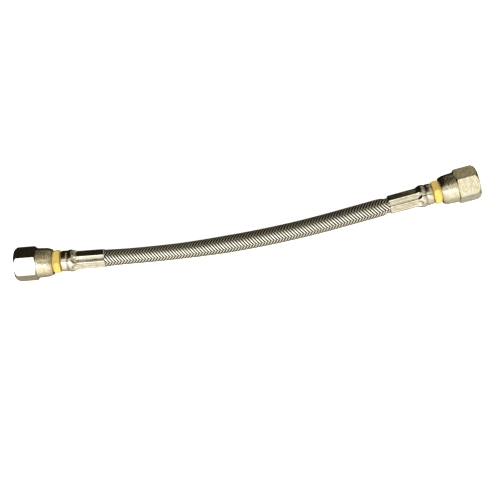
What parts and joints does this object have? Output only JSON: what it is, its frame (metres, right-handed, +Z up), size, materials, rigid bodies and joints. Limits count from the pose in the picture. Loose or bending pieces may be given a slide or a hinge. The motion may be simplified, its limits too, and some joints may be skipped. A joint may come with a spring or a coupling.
{
  "type": "fuel hose",
  "caption": "Braided steel fuel hose with a fluoropolymer liner and the same crimped swivel nut fitting on each end.",
  "frame": {"origin": "on the surface that the hose lies on, midway between the two fittings", "axes": "+X from the left fitting to the right one, +Z up, +Y away from the side that the hose bows to"},
  "size_m": [0.3424, 0.0326, 0.0229],
  "materials": {
    "nut_steel": "worn nickel plate over machined steel",
    "stem_brass": "bright turned brass",
    "ferrule_steel": "polished stainless steel, crimped",
    "liner_fluoropolymer": "smooth extruded tube, black with carbon to carry off static",
    "braid_steel": "braided bright stainless wire"
  },
  "bodies": {
    "hose": {"braid": "braid_steel", "liner": "liner_fluoropolymer", "left_stem": "stem_brass", "right_stem": "stem_brass", "left_ferrule": "ferrule_steel", "right_ferrule": "ferrule_steel"},
    "left_nut": {"left_nut": "nut_steel"},
    "right_nut": {"right_nut": "nut_steel"}
  },
  "joints": [
    {"name": "left_nut_swivel", "type": "hinge", "parent": "hose", "child": "left_nut", "pos_m": [-0.15114, -0.00133, 0.01094], "axis": [-0.9925, 0.1122, 0.048], "continuous": true},
    {"name": "right_nut_swivel", "type": "hinge", "parent": "hose", "child": "right_nut", "pos_m": [0.15109, -0.00094, 0.01098], "axis": [0.9951, 0.0914, 0.0384], "continuous": true}
  ]
}
